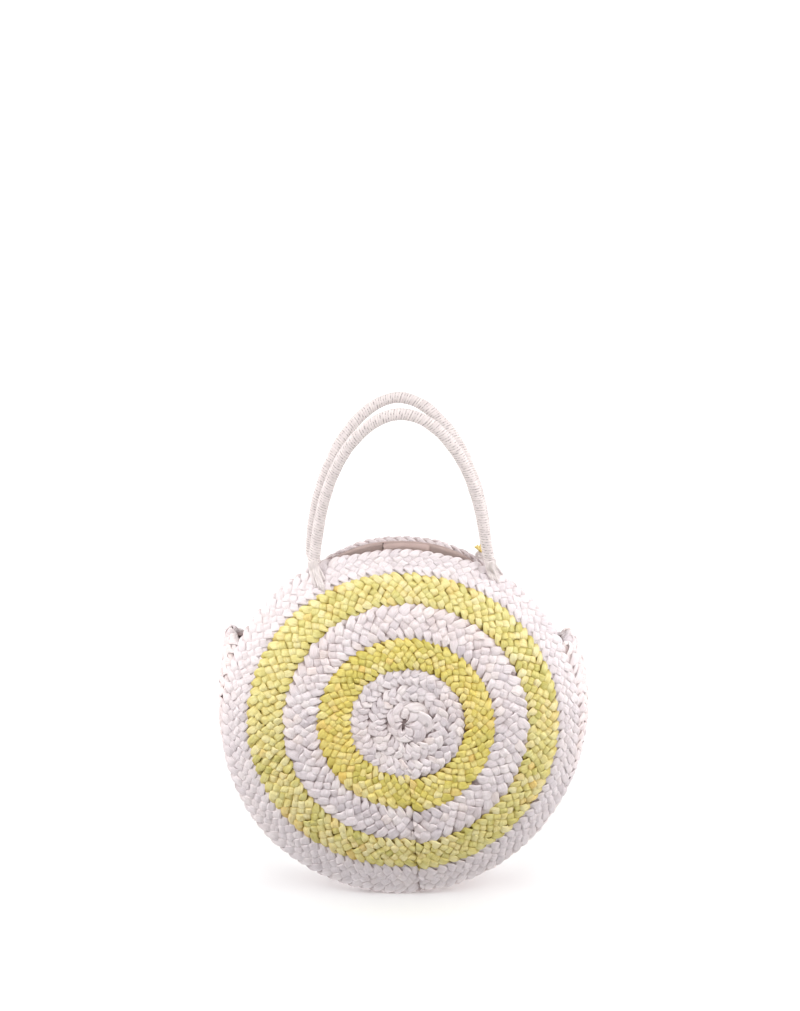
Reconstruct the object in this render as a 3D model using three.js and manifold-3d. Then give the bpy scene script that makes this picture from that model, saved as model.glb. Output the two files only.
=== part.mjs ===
// A round bag of plaited straw: two coiled panels, a gusset, a lining and two wrapped handles.
// Millimetres, +Z up, front towards -Y, the base on z = 0 and the origin under the middle.
import * as THREE from 'three';
import { mergeVertices } from 'three/addons/utils/BufferGeometryUtils.js';
import Module from 'manifold-3d';

// Driving dimensions of the whole bag
const CENTRE_HEIGHT = 193;
const BELLY_DEPTH = 72;
const BELLY_POWER = 4;
const PLAIT = 6.4;
const SEAM_GAP = 0.3;
const FACETS = 48;
const FULL_TURN = 2 * Math.PI;

// Edges of the coiled rings seen from the front, as radii about the panel centre
const EDGES = {
  curl: { right: 28.5, top: 23.5, left: 18.5, bottom: 19.5 },
  centre: { right: 60.5, top: 57, left: 55.5, bottom: 57 },
  innerYellow: { right: 88.5, top: 87, left: 88, bottom: 90.5 },
  white: { right: 123, top: 120.5, left: 122.5, bottom: 126 },
  outerYellow: { right: 153.5, top: 148.5, left: 159, bottom: 157.5 },
  rim: { right: 177, top: 170.5, left: 185, bottom: 190.5 },
};

// Half the bag's depth along the rim edge, to the middle of the plait
const RIM_DEPTH = { right: 38, top: 32, left: 38, bottom: 40 };

// Shoulders of the rim, between the handles and the gusset's ends, as turns from the top.
// There the front rim stands a little out, the back rim falls in, and the mouth is pinched.
const SHOULDER = {
  start: THREE.MathUtils.degToRad(12),
  full: THREE.MathUtils.degToRad(36),
  ease: THREE.MathUtils.degToRad(50),
  end: THREE.MathUtils.degToRad(90),
};
const FRONT_SHOULDER = 2.5;
const BACK_SHOULDER = -7.5;
const MOUTH_PINCH = 9;

// Gusset: its outer radius, the swell that makes the flat base, and its two pointed ears
const GUSSET_RADIUS = 190.5;
const BASE_SWELL = 8;
const BASE_SWELL_POWER = 8;
const GUSSET_TUCK = 1;
const MOUTH_FIRST = 3;
const MOUTH_LAST = 21;
const EAR_FACETS = 3;
const LEFT_EAR = { flare: 11, point: THREE.MathUtils.degToRad(-2) };
const RIGHT_EAR = { flare: 1, point: THREE.MathUtils.degToRad(2.5) };

// Lining: cloth wall, its clearance behind the plait, and how far its hem lies below the rim
const CLOTH = 1.2;
const LINING_HEM = 5;
const LINING_CLEARANCE = 1.0;

// Handles: half an ellipse of wrapped rope on two splayed feet
const ROPE_RADIUS = 5.5;
const ARCH_RISE = 151;
const ARCH_BASE = 352;
const ARCH_LEAN = 8.5;
const ARCH_STEPS = 34;
const ROPE_SIDES = 10;
const FRONT_ARCH = {
  middle: -3.5,
  halfWidth: 84,
  leftRun: { x: 0.5, z: -0.87 },
  rightRun: { x: 0.4, z: -0.92 },
};
const BACK_ARCH = {
  middle: -6,
  halfWidth: 88.5,
  leftRun: { x: 0.5, z: -0.87 },
  rightRun: { x: -0.5, z: -0.87 },
};
const FOOT = { length: 21, halfWidth: 7, halfThickness: 1.8, sink: 0.7, steps: 3 };

const FRONT = -1;
const BACK = 1;

const HUSK = { color: '#e7dee1', roughness: 0.8, metalness: 0 };
const YELLOW_HUSK = { color: '#d2c15c', roughness: 0.75, metalness: 0 };
const CLOTH_LOOK = { color: '#bda69f', roughness: 0.95, metalness: 0 };
const ROPE_LOOK = { color: '#e9dfda', roughness: 0.85, metalness: 0 };

// A smooth closed curve through four named directions
function around(edge, angle) {
  const mean = (edge.right + edge.top + edge.left + edge.bottom) / 4;
  const sideways = (edge.right - edge.left) / 2;
  const upward = (edge.top - edge.bottom) / 2;
  const oval = (edge.right + edge.left - edge.top - edge.bottom) / 4;
  return mean + sideways * Math.cos(angle) + upward * Math.sin(angle) + oval * Math.cos(2 * angle);
}

function facetAngle(index) {
  return (FULL_TURN * index) / FACETS;
}

// How fully an angle lies in a shoulder, from 0 to 1
function shoulderShare(angle) {
  const fromTop = Math.abs(Math.atan2(Math.cos(angle), Math.sin(angle)));
  const rise = THREE.MathUtils.smoothstep(fromTop, SHOULDER.start, SHOULDER.full);
  return rise * (1 - THREE.MathUtils.smoothstep(fromTop, SHOULDER.ease, SHOULDER.end));
}

// Radius of one edge of a panel. Only the rim has shoulders.
function edgeRadius(side, edge, angle) {
  if (edge !== EDGES.rim) return around(edge, angle);
  const shoulder = side === FRONT ? FRONT_SHOULDER : BACK_SHOULDER;
  return around(edge, angle) + shoulder * shoulderShare(angle);
}

function rimDepth(angle) {
  return around(RIM_DEPTH, angle) - MOUTH_PINCH * shoulderShare(angle);
}

// Depth of a panel's middle surface from the bag's mid plane
function panelDepth(side, radius, angle) {
  const edgeDepth = rimDepth(angle);
  const share = radius / edgeRadius(side, EDGES.rim, angle);
  return edgeDepth + (BELLY_DEPTH - edgeDepth) * (1 - share ** BELLY_POWER);
}

// Half the plait's thickness measured along Y, where the panel slopes
function halfPlait(side, radius, angle) {
  const rim = edgeRadius(side, EDGES.rim, angle);
  const belly = BELLY_DEPTH - rimDepth(angle);
  const slope = (belly * BELLY_POWER * (radius / rim) ** (BELLY_POWER - 1)) / rim;
  return (PLAIT / 2) * Math.hypot(1, slope);
}

// A point on a panel: lift is -1 on its inside face and 1 on the crown of the plait
function panelPoint(side, radius, angle, lift, extra = 0) {
  const crown = lift * halfPlait(side, radius, angle);
  const depth = panelDepth(side, radius, angle) + crown + extra;
  return new THREE.Vector3(
    radius * Math.cos(angle),
    side * depth,
    CENTRE_HEIGHT + radius * Math.sin(angle),
  );
}

// Turns a mesh the right way out, from the sign of its volume
function orientOutward(positions, indices) {
  let volume = 0;
  for (let i = 0; i < indices.length; i += 3) {
    const [a, b, c] = [positions[indices[i]], positions[indices[i + 1]], positions[indices[i + 2]]];
    volume += a.dot(new THREE.Vector3().crossVectors(b, c));
  }
  if (volume < 0) indices.reverse();
}

function solidFrom(positions, indices) {
  orientOutward(positions, indices);
  const geometry = new THREE.BufferGeometry().setFromPoints(positions);
  geometry.setIndex(indices);
  geometry.computeVertexNormals();
  return geometry;
}

// Joins rows of points into a closed skin. Each row is a closed loop of equal length.
// The rows close on each other, or the first and last row are each filled by a fan to a point.
function loft(rows, startPoint, endPoint) {
  const count = rows[0].length;
  const positions = rows.flat();
  const indices = [];
  const closed = !startPoint;
  const spans = closed ? rows.length : rows.length - 1;
  for (let row = 0; row < spans; row += 1) {
    const next = (row + 1) % rows.length;
    for (let i = 0; i < count; i += 1) {
      const j = (i + 1) % count;
      const [a, b] = [row * count + i, row * count + j];
      const [c, d] = [next * count + i, next * count + j];
      indices.push(a, b, d, a, d, c);
    }
  }
  if (!closed) {
    const last = (rows.length - 1) * count;
    const start = positions.push(startPoint) - 1;
    const end = positions.push(endPoint) - 1;
    for (let i = 0; i < count; i += 1) {
      const j = (i + 1) % count;
      indices.push(start, j, i, end, last + i, last + j);
    }
  }
  return solidFrom(positions, indices);
}

function middleOf(points) {
  const sum = new THREE.Vector3();
  points.forEach((point) => sum.add(point));
  return sum.divideScalar(points.length);
}

// Section of one plait: flat inside, crowned outside, with low sewn edges
const PLAIT_SECTION = [
  { across: -1, lift: -1 },
  { across: 1, lift: -1 },
  { across: 1, lift: 0.1 },
  { across: 0.55, lift: 1 },
  { across: -0.55, lift: 1 },
  { across: -1, lift: 0.1 },
];

// One coil of plait between two edges of a panel. Grow widens it all round for a cutter.
function ringGeometry(side, innerEdge, outerEdge, grow = 0) {
  const rows = [];
  for (let i = 0; i < FACETS; i += 1) {
    const angle = facetAngle(i);
    const inner = edgeRadius(side, innerEdge, angle) + SEAM_GAP / 2 - grow;
    const outer = edgeRadius(side, outerEdge, angle) - SEAM_GAP / 2 + grow;
    const row = PLAIT_SECTION.map(({ across, lift }) => {
      const radius = inner + ((across + 1) / 2) * (outer - inner);
      return panelPoint(side, radius, angle, lift, grow * Math.sign(lift));
    });
    rows.push(row);
  }
  return loft(rows);
}

// The rolled end of the plait: a low cushion with a dimple
const CURL_SECTION = [
  { share: 1, lift: -1 },
  { share: 1, lift: 0.1 },
  { share: 0.7, lift: 1 },
  { share: 0.4, lift: 1 },
  { share: 0.15, lift: 0 },
];
const DIMPLE_LIFT = -0.3;

function curlGeometry(side) {
  const rows = CURL_SECTION.map(({ share, lift }) => {
    const row = [];
    for (let i = 0; i < FACETS / 2; i += 1) {
      const angle = facetAngle(2 * i);
      const radius = share * (around(EDGES.curl, angle) - SEAM_GAP);
      row.push(panelPoint(side, radius, angle, lift));
    }
    return row;
  });
  return loft(rows, panelPoint(side, 0, 0, -1), panelPoint(side, 0, 0, DIMPLE_LIFT));
}

// Outer radius of the gusset, cut level where the bag stands
function gussetOuter(angle) {
  const down = Math.max(0, -Math.sin(angle));
  const round = GUSSET_RADIUS + BASE_SWELL * down ** BASE_SWELL_POWER;
  return down > 0 ? Math.min(round, CENTRE_HEIGHT / down) : round;
}

// Inner radius of the gusset where it meets a rim ring
function gussetInner(side, angle) {
  const underRim = edgeRadius(side, EDGES.rim, angle) - GUSSET_TUCK;
  return Math.min(underRim, gussetOuter(angle) - PLAIT);
}

// Half the gusset's depth, just behind the rim ring's inside face
function gussetDepth(side, angle) {
  const rim = edgeRadius(side, EDGES.rim, angle);
  return rimDepth(angle) - halfPlait(side, rim, angle) - SEAM_GAP;
}

// One plait band of the gusset, from the mid plane to a rim ring, arched outwards.
// At each end the arch rises to a pointed ear on the mid plane.
function gussetBand(side) {
  const firstFacet = MOUTH_LAST;
  const lastFacet = FACETS + MOUTH_FIRST;
  const rows = [];
  for (let i = firstFacet; i <= lastFacet; i += 1) {
    const angle = facetAngle(i);
    const depth = gussetDepth(side, angle);
    const inner = gussetInner(side, angle);
    const fromEnd = Math.min(i - firstFacet, lastFacet - i);
    const nearEnd = Math.max(0, 1 - fromEnd / EAR_FACETS) ** 2;
    const ear = i - firstFacet < lastFacet - i ? LEFT_EAR : RIGHT_EAR;
    const lift = gussetOuter(angle) - PLAIT - inner + ear.flare * nearEnd;
    const row = PLAIT_SECTION.map((corner) => {
      const share = (corner.across + 1) / 2;
      const y = SEAM_GAP / 2 + share * (depth - SEAM_GAP / 2);
      const arch = 1 - (y / depth) ** 2;
      const radius = inner + lift * arch + (PLAIT * (corner.lift + 1)) / 2;
      const turned = angle + ear.point * nearEnd * arch;
      return new THREE.Vector3(
        radius * Math.cos(turned),
        side * y,
        CENTRE_HEIGHT + radius * Math.sin(turned),
      );
    });
    rows.push(row);
  }
  return loft(rows, middleOf(rows[0]), middleOf(rows[rows.length - 1]));
}

const LINING_EDGES = [EDGES.centre, EDGES.innerYellow, EDGES.white, EDGES.outerYellow];

// A point behind the rim ring's inside face, which runs straight from edge to edge
function behindRim(side, radius, angle, clearance) {
  const low = edgeRadius(side, EDGES.outerYellow, angle);
  const high = edgeRadius(side, EDGES.rim, angle);
  const start = panelPoint(side, low, angle, -1, -clearance);
  const end = panelPoint(side, high, angle, -1, -clearance);
  return start.lerp(end, (radius - low) / (high - low));
}

// One skin of the lining: loops from the front centre, over the gusset, to the back centre
function liningSkin(inset) {
  const clearance = LINING_CLEARANCE + inset;
  const loopOf = (pointAt) => Array.from({ length: FACETS }, (_, i) => pointAt(facetAngle(i), i));
  const sheet = (side) => {
    const loops = LINING_EDGES.map((edge) => loopOf((angle) => (
      panelPoint(side, around(edge, angle), angle, -1, -clearance)
    )));
    loops.push(loopOf((angle, i) => {
      const hem = i > MOUTH_FIRST && i < MOUTH_LAST ? LINING_HEM : 0;
      return behindRim(side, gussetInner(side, angle) - clearance - hem, angle, clearance);
    }));
    return loops;
  };
  return {
    loops: [...sheet(FRONT), ...sheet(BACK).reverse()],
    frontCentre: panelPoint(FRONT, 0, 0, -1, -clearance),
    backCentre: panelPoint(BACK, 0, 0, -1, -clearance),
  };
}

// The cloth pouch: an outer and an inner skin joined round the mouth
function liningGeometry() {
  const positions = [];
  const indices = [];
  const mouthRow = LINING_EDGES.length;
  const addSkin = (inset, flip) => {
    const skin = liningSkin(inset);
    const base = positions.length;
    positions.push(...skin.loops.flat(), skin.frontCentre, skin.backCentre);
    const at = (row, i) => base + row * FACETS + (i % FACETS);
    const addFace = (a, b, c) => indices.push(...(flip ? [a, c, b] : [a, b, c]));
    const frontCentre = base + skin.loops.length * FACETS;
    const backCentre = frontCentre + 1;
    const lastRow = skin.loops.length - 1;
    for (let i = 0; i < FACETS; i += 1) {
      addFace(frontCentre, at(0, i), at(0, i + 1));
      addFace(backCentre, at(lastRow, i + 1), at(lastRow, i));
      for (let row = 0; row < lastRow; row += 1) {
        const inMouth = row === mouthRow && i >= MOUTH_FIRST && i < MOUTH_LAST;
        if (!inMouth) {
          addFace(at(row, i), at(row + 1, i), at(row + 1, i + 1));
          addFace(at(row, i), at(row + 1, i + 1), at(row, i + 1));
        }
      }
    }
    const mouth = [];
    for (let i = MOUTH_FIRST; i <= MOUTH_LAST; i += 1) mouth.push(at(mouthRow, i));
    for (let i = MOUTH_LAST; i >= MOUTH_FIRST; i -= 1) mouth.push(at(mouthRow + 1, i));
    return mouth;
  };
  const outerMouth = addSkin(0, false);
  const innerMouth = addSkin(CLOTH, true);
  outerMouth.forEach((outer, i) => {
    const next = (i + 1) % outerMouth.length;
    indices.push(outerMouth[next], outer, innerMouth[i]);
    indices.push(outerMouth[next], innerMouth[i], innerMouth[next]);
  });
  return solidFrom(positions, indices);
}

// Where a foot lies on the rim ring: the crown's depth under a point seen from the front
function crownDepth(side, x, z) {
  const angle = Math.atan2(z - CENTRE_HEIGHT, x);
  const rim = edgeRadius(side, EDGES.rim, angle);
  const radius = Math.min(Math.hypot(x, z - CENTRE_HEIGHT), rim);
  return panelDepth(side, radius, angle) + halfPlait(side, radius, angle);
}

// Stations down one foot, from the rope to the tip
function footStations(side, footX, run) {
  const stations = [];
  for (let step = 1; step <= FOOT.steps; step += 1) {
    const share = step / FOOT.steps;
    const x = footX + run.x * FOOT.length * share;
    const z = ARCH_BASE + run.z * FOOT.length * share;
    const halfThickness = THREE.MathUtils.lerp(ROPE_RADIUS, FOOT.halfThickness, share);
    stations.push({
      point: new THREE.Vector3(x, side * (crownDepth(side, x, z) + FOOT.sink * halfThickness), z),
      halfWidth: THREE.MathUtils.lerp(ROPE_RADIUS, FOOT.halfWidth, share),
      halfThickness,
    });
  }
  return stations;
}

// Stations over the arch, from the left foot to the right foot
function archStations(side, arch) {
  const stations = [];
  for (let step = 0; step <= ARCH_STEPS; step += 1) {
    const angle = Math.PI * (1 - step / ARCH_STEPS);
    const x = arch.middle + arch.halfWidth * Math.cos(angle);
    const rise = Math.sin(angle);
    const depth = crownDepth(side, x, ARCH_BASE) + FOOT.sink * ROPE_RADIUS + ARCH_LEAN * rise;
    stations.push({
      point: new THREE.Vector3(x, side * depth, ARCH_BASE + ARCH_RISE * rise),
      halfWidth: ROPE_RADIUS,
      halfThickness: ROPE_RADIUS,
    });
  }
  return stations;
}

// Sweeps an ellipse along the stations, its flat side kept towards the panel
function sweepStations(side, stations) {
  const rows = stations.map((station, i) => {
    const before = stations[Math.max(i - 1, 0)].point;
    const after = stations[Math.min(i + 1, stations.length - 1)].point;
    const tangent = new THREE.Vector3().subVectors(after, before).normalize();
    const outward = new THREE.Vector3(0, side, 0);
    outward.addScaledVector(tangent, -outward.dot(tangent)).normalize();
    const sideways = new THREE.Vector3().crossVectors(tangent, outward);
    const row = [];
    for (let k = 0; k < ROPE_SIDES; k += 1) {
      const turn = (FULL_TURN * k) / ROPE_SIDES;
      const point = station.point.clone();
      point.addScaledVector(sideways, station.halfWidth * Math.cos(turn));
      point.addScaledVector(outward, station.halfThickness * Math.sin(turn));
      row.push(point);
    }
    return row;
  });
  return loft(rows, stations[0].point, stations[stations.length - 1].point);
}

const wasm = await Module();
wasm.setup();

function toManifold(geometry) {
  const bare = geometry.clone();
  bare.deleteAttribute('normal');
  const merged = mergeVertices(bare);
  const mesh = new wasm.Mesh({
    numProp: 3,
    vertProperties: new Float32Array(merged.attributes.position.array),
    triVerts: new Uint32Array(merged.index.array),
  });
  return new wasm.Manifold(mesh);
}

function fromManifold(solid) {
  const mesh = solid.getMesh();
  const geometry = new THREE.BufferGeometry();
  geometry.setAttribute('position', new THREE.BufferAttribute(mesh.vertProperties, mesh.numProp));
  geometry.setIndex(new THREE.BufferAttribute(mesh.triVerts, 1));
  geometry.computeVertexNormals();
  return geometry;
}

// A handle, with its feet cut to lie on the rim ring
function handleGeometry(side, arch) {
  const left = footStations(side, arch.middle - arch.halfWidth, arch.leftRun).reverse();
  const right = footStations(side, arch.middle + arch.halfWidth, arch.rightRun);
  const rope = sweepStations(side, [...left, ...archStations(side, arch), ...right]);
  const seat = ringGeometry(side, EDGES.outerYellow, EDGES.rim, SEAM_GAP);
  return fromManifold(toManifold(rope).subtract(toManifold(seat)));
}

const group = new THREE.Group();

function addPart(name, geometry, look) {
  const mesh = new THREE.Mesh(geometry, new THREE.MeshStandardMaterial(look));
  mesh.name = name;
  group.add(mesh);
}

const COILS = [
  { name: 'centre_ring', inner: EDGES.curl, outer: EDGES.centre, look: HUSK },
  { name: 'inner_yellow_ring', inner: EDGES.centre, outer: EDGES.innerYellow, look: YELLOW_HUSK },
  { name: 'white_ring', inner: EDGES.innerYellow, outer: EDGES.white, look: HUSK },
  { name: 'outer_yellow_ring', inner: EDGES.white, outer: EDGES.outerYellow, look: YELLOW_HUSK },
  { name: 'rim_ring', inner: EDGES.outerYellow, outer: EDGES.rim, look: HUSK },
];

const FACES = [
  { name: 'front', side: FRONT, arch: FRONT_ARCH },
  { name: 'back', side: BACK, arch: BACK_ARCH },
];

FACES.forEach((face) => {
  addPart(`${face.name}_centre_curl`, curlGeometry(face.side), HUSK);
  COILS.forEach((coil) => {
    addPart(`${face.name}_${coil.name}`, ringGeometry(face.side, coil.inner, coil.outer), coil.look);
  });
  addPart(`gusset_${face.name}_band`, gussetBand(face.side), HUSK);
  addPart(`${face.name}_handle`, handleGeometry(face.side, face.arch), ROPE_LOOK);
});
addPart('lining', liningGeometry(), CLOTH_LOOK);

export default group;
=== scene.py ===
"""A round bag of plaited straw: each coil of its panels and gusset is a real plait of strands."""
import math

import bpy
import numpy as np
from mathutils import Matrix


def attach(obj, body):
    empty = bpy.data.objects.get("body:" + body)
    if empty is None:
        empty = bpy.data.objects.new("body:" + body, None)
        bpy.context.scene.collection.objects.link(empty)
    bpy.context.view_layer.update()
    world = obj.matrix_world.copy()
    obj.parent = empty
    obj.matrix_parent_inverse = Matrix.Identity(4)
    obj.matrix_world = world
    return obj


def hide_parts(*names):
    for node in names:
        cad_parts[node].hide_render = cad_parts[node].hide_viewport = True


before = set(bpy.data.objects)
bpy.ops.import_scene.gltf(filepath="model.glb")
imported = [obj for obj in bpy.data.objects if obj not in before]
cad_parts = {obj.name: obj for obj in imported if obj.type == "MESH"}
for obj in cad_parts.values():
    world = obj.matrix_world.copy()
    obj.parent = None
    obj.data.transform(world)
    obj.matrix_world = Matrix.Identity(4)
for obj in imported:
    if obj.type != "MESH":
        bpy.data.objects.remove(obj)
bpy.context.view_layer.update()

# Sizes of the bag, in millimetres, as the solids have them
MM = 0.001
FULL_TURN = 2 * math.pi
CENTRE_HEIGHT = 193.0
BELLY_DEPTH = 72.0
BELLY_POWER = 4
PLAIT = 6.4
SEAM_GAP = 0.3
SIDES = {"front": -1.0, "back": 1.0}
EDGES = {
    "curl": {"right": 28.5, "top": 23.5, "left": 18.5, "bottom": 19.5},
    "centre": {"right": 60.5, "top": 57.0, "left": 55.5, "bottom": 57.0},
    "inner_yellow": {"right": 88.5, "top": 87.0, "left": 88.0, "bottom": 90.5},
    "white": {"right": 123.0, "top": 120.5, "left": 122.5, "bottom": 126.0},
    "outer_yellow": {"right": 153.5, "top": 148.5, "left": 159.0, "bottom": 157.5},
    "rim": {"right": 177.0, "top": 170.5, "left": 185.0, "bottom": 190.5},
}
SLIT = {"half_width": 2.1, "half_length": 7.5, "axis": math.radians(73.0), "shift": -0.8}
RIM_DEPTH = {"right": 38.0, "top": 32.0, "left": 38.0, "bottom": 40.0}

# Shoulders of the rim, as turns from the top, and how the rim and the mouth change there
SHOULDER_START = math.radians(12.0)
SHOULDER_FULL = math.radians(36.0)
SHOULDER_EASE = math.radians(50.0)
SHOULDER_END = math.radians(90.0)
SHOULDER_OUT = {-1.0: 2.5, 1.0: -7.5}
MOUTH_PINCH = 9.0

# Between the handles the rim's edge stands upright, and the back one is a little lower
UPRIGHT_EASE = math.radians(14.0)
UPRIGHT_END = math.radians(27.0)
UPRIGHT_REACH = 16.0
UPRIGHT_TURN = 0.75
UPRIGHT_DROP = {-1.0: 0.0, 1.0: 3.0}

# Gusset: its outer radius, its flat base and its two pointed ears
GUSSET_RADIUS = 190.5
BASE_SWELL = 8.0
BASE_SWELL_POWER = 8
GUSSET_TUCK = 1.0
GUSSET_REACH = 2.0
GUSSET_EDGE_SINK = 3.5
GUSSET_EDGE_POWER = 6
MOUTH_RIGHT = math.radians(22.5)
MOUTH_LEFT = math.radians(157.5)
EAR_ARC = math.radians(22.5)
LEFT_EAR = {"flare": 11.0, "point": math.radians(-2.0)}
RIGHT_EAR = {"flare": 1.0, "point": math.radians(2.5)}
NEARLY_NOTHING = 1e-6

# The gusset's ends are turned in over the ears: where the fold starts, its radius, turn and length
FOLD_START = 4.5
FOLD_RADIUS = 2.6
FOLD_TURN = math.radians(112.0)
FOLD_LENGTH = 13.0


def around(edge, angle):
    """A smooth closed curve through four named directions."""
    mean = (edge["right"] + edge["top"] + edge["left"] + edge["bottom"]) / 4
    sideways = (edge["right"] - edge["left"]) / 2
    upward = (edge["top"] - edge["bottom"]) / 2
    oval = (edge["right"] + edge["left"] - edge["top"] - edge["bottom"]) / 4
    return mean + sideways * np.cos(angle) + upward * np.sin(angle) + oval * np.cos(2 * angle)


def smooth_rise(value, low, high):
    """From 0 at low to 1 at high, with soft ends."""
    share = np.clip((value - low) / (high - low), 0, 1)
    return share * share * (3 - 2 * share)


def turn_from_top(angle):
    """How far an angle lies from the top, either way round."""
    return np.abs(np.arctan2(np.cos(angle), np.sin(angle)))


def shoulder_share(angle):
    """How fully an angle lies in a shoulder of the rim."""
    from_top = turn_from_top(angle)
    rise = smooth_rise(from_top, SHOULDER_START, SHOULDER_FULL)
    return rise * (1 - smooth_rise(from_top, SHOULDER_EASE, SHOULDER_END))


def upright_share(angle):
    """How fully an angle lies in the upright stretch of the rim."""
    return 1 - smooth_rise(turn_from_top(angle), UPRIGHT_EASE, UPRIGHT_END)


def upright_turn(side, radius, angle):
    """How far the rim is turned upright, and how far along that stretch a radius lies."""
    rim = edge_radius(side, "rim", angle)
    along = np.clip((radius - rim) / UPRIGHT_REACH + 1, 0, None)
    return UPRIGHT_TURN * upright_share(angle), along


def slit_radius(angle):
    """Radius of the leaning slit in the middle of the curl."""
    turned = angle - SLIT["axis"]
    across = np.sin(turned) / SLIT["half_width"]
    along = np.cos(turned) / SLIT["half_length"]
    return 1 / np.hypot(across, along) + SLIT["shift"] * np.cos(angle)


def edge_radius(side, name, angle):
    """Radius of one edge of a panel. Only the rim has shoulders."""
    if name == "slit":
        return slit_radius(angle)
    radius = around(EDGES[name], angle)
    if name == "rim":
        radius = radius + SHOULDER_OUT[side] * shoulder_share(angle)
        radius = radius - UPRIGHT_DROP[side] * upright_share(angle)
    return radius


def rim_depth(angle):
    """Half the bag's depth along the rim edge."""
    return around(RIM_DEPTH, angle) - MOUTH_PINCH * shoulder_share(angle)


def panel_depth(side, radius, angle):
    """Depth of a panel's middle surface from the bag's mid plane."""
    edge_depth = rim_depth(angle)
    share = radius / edge_radius(side, "rim", angle)
    turn, along = upright_turn(side, radius, angle)
    upright = turn * UPRIGHT_REACH * along**2 / 2
    return edge_depth + (BELLY_DEPTH - edge_depth) * (1 - share**BELLY_POWER) + upright


def panel_slope(side, radius, angle):
    """How fast a panel falls back towards its rim."""
    rim = edge_radius(side, "rim", angle)
    belly = BELLY_DEPTH - rim_depth(angle)
    turn, along = upright_turn(side, radius, angle)
    return belly * BELLY_POWER * (radius / rim) ** (BELLY_POWER - 1) / rim - turn * along


def half_plait(side, radius, angle):
    """Half the plait's thickness measured along Y, where the panel slopes."""
    return PLAIT / 2 * np.hypot(1, panel_slope(side, radius, angle))


def panel_place(side, radius, angle, lift):
    """Points on a panel, lifted off its middle surface along its normal."""
    slope = panel_slope(side, radius, angle)
    upright = 1 / np.hypot(1, slope)
    out = radius + lift * slope * upright
    depth = panel_depth(side, radius, angle) + lift * upright
    height = CENTRE_HEIGHT + out * np.sin(angle)
    return np.stack([out * np.cos(angle), side * depth, height], axis=-1)


# Where the coils are sewn end to end: an upright seam below the centre, with a small step
SEAM_ANGLE = math.radians(275.0)
SEAM_STEP = 5.0


def ring_place(side, inner, outer, span, seam_step):
    """Maps a plait's own coordinates on to a span of one coil of a panel."""

    def place(share, across, lift):
        angle = SEAM_ANGLE + FULL_TURN * share
        low = edge_radius(side, inner, angle)
        high = edge_radius(side, outer, angle)
        step = seam_step * (0.5 - share)
        if outer == "rim":
            step = step * (1 - across) / 2
        radius = low + (span[0] + (span[1] - span[0]) * (across + 1) / 2) * (high - low) + step
        return panel_place(side, radius, angle, lift)

    return place


def gusset_outer(angle):
    """Outer radius of the gusset, cut level where the bag stands."""
    down = np.maximum(0, -np.sin(angle))
    swollen = GUSSET_RADIUS + BASE_SWELL * down**BASE_SWELL_POWER
    return np.minimum(swollen, CENTRE_HEIGHT / np.maximum(down, NEARLY_NOTHING))


def gusset_inner(side, angle):
    """Inner radius of the gusset where it meets a rim ring."""
    under_rim = edge_radius(side, "rim", angle) - GUSSET_TUCK
    return np.minimum(under_rim, gusset_outer(angle) - PLAIT)


def gusset_depth(side, angle):
    """Half the gusset's depth, just behind the rim ring's inside face."""
    rim = edge_radius(side, "rim", angle)
    return rim_depth(angle) - half_plait(side, rim, angle) - SEAM_GAP


def fold_in(past_end, lift):
    """How far a turned-in end reaches on along the band and outwards, for a way past the fold."""
    turn = np.clip(past_end / FOLD_RADIUS, 0, FOLD_TURN)
    straight = np.maximum(0, past_end - FOLD_RADIUS * FOLD_TURN)
    on = (FOLD_RADIUS + lift) * np.sin(turn) + straight * math.cos(FOLD_TURN)
    out = (FOLD_RADIUS + lift) * np.cos(turn) - FOLD_RADIUS - straight * math.sin(FOLD_TURN)
    return on, out


def gusset_place(side):
    """Maps a plait's own coordinates on to one band of the gusset."""
    inset = FOLD_START / GUSSET_RADIUS
    first, last = MOUTH_LEFT + inset, FULL_TURN + MOUTH_RIGHT - inset
    arc = (last - first) * GUSSET_RADIUS

    def place(share, across, lift):
        run = share * (arc + 2 * FOLD_LENGTH) - FOLD_LENGTH
        past_first, past_last = np.maximum(0, -run), np.maximum(0, run - arc)
        on, out = fold_in(past_first + past_last, lift)
        angle = first + np.clip(run, 0, arc) / GUSSET_RADIUS
        inner = gusset_inner(side, angle)
        left = angle < (first + last) / 2
        near_end = np.maximum(0, 1 - np.minimum(angle - first, last - angle) / EAR_ARC) ** 2
        flare = np.where(left, LEFT_EAR["flare"], RIGHT_EAR["flare"]) * near_end
        point = np.where(left, LEFT_EAR["point"], RIGHT_EAR["point"]) * near_end
        y_share = (across + 1) / 2
        arch = 1 - y_share**2
        radius = inner + (gusset_outer(angle) - PLAIT - inner + flare) * arch + PLAIT / 2 + out
        radius = radius - GUSSET_EDGE_SINK * np.clip(y_share, 0, 1) ** GUSSET_EDGE_POWER
        turned = angle + point * arch + np.where(left, -on, on) / GUSSET_RADIUS
        height = np.maximum(CENTRE_HEIGHT + radius * np.sin(turned), 0)
        y = side * y_share * (gusset_depth(side, angle) + GUSSET_REACH)
        return np.stack([radius * np.cos(turned), y, height], axis=-1)

    return place


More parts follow.
